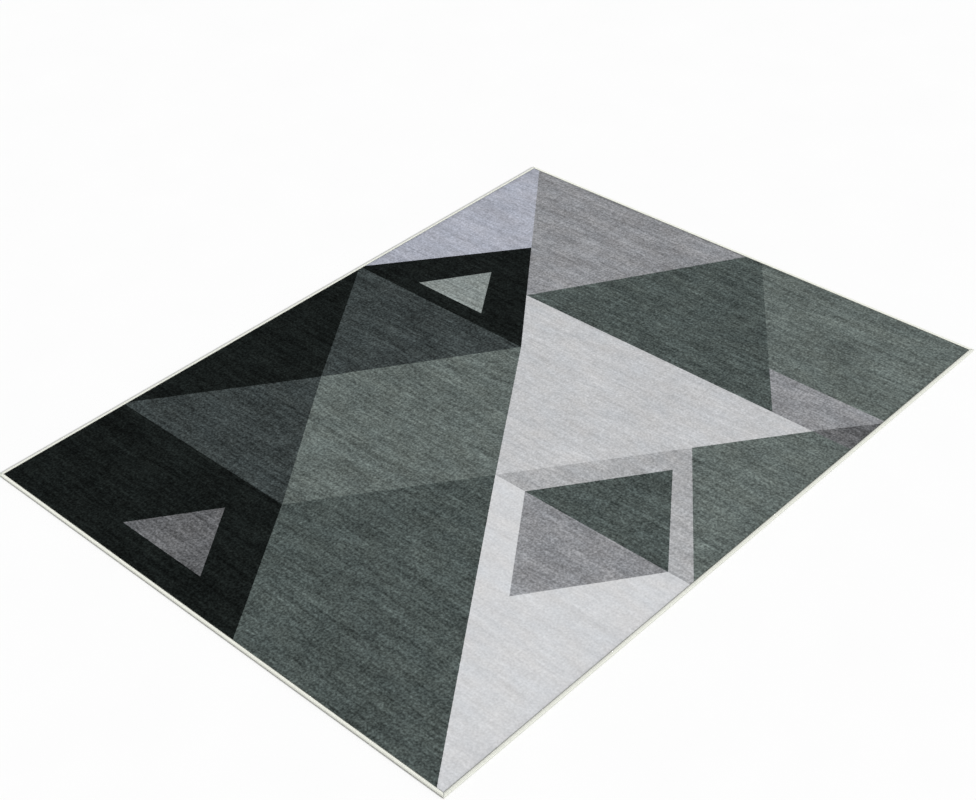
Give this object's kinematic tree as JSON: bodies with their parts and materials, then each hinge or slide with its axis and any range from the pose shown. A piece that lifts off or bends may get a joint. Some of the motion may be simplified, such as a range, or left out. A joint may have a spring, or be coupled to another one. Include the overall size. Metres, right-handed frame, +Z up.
{
  "type": "chair mat",
  "caption": "Rectangular rug-style chair mat: printed low-pile face cloth, felt core and dotted rubber backing, held by an overlocked yarn edge.",
  "frame": {"origin": "on the floor, at the centre of the mat's outline", "axes": "+X across the mat's short way, +Y along its length, +Z up out of the face cloth"},
  "size_m": [1.6, 2.04, 0.0051],
  "materials": {
    "face": "low pile, streaky linen-look print in grey-green, black and light grey",
    "felt": "needled grey felt",
    "rubber": "matt, with moulded grip dots",
    "yarn": "cream bulked yarn",
    "thread": "grey twisted sewing thread"
  },
  "bodies": {
    "root": {"face_cloth": "face", "felt_core": "felt", "grip_backing": "rubber", "serging_top_front": "yarn", "serging_top_right": "yarn", "serging_top_back": "yarn", "serging_top_left": "yarn", "serging_under_front": "yarn", "serging_under_right": "yarn", "serging_under_back": "yarn", "serging_under_left": "yarn", "needle_thread_front": "thread", "needle_thread_right": "thread", "needle_thread_back": "thread", "needle_thread_left": "thread"}
  },
  "joints": []
}
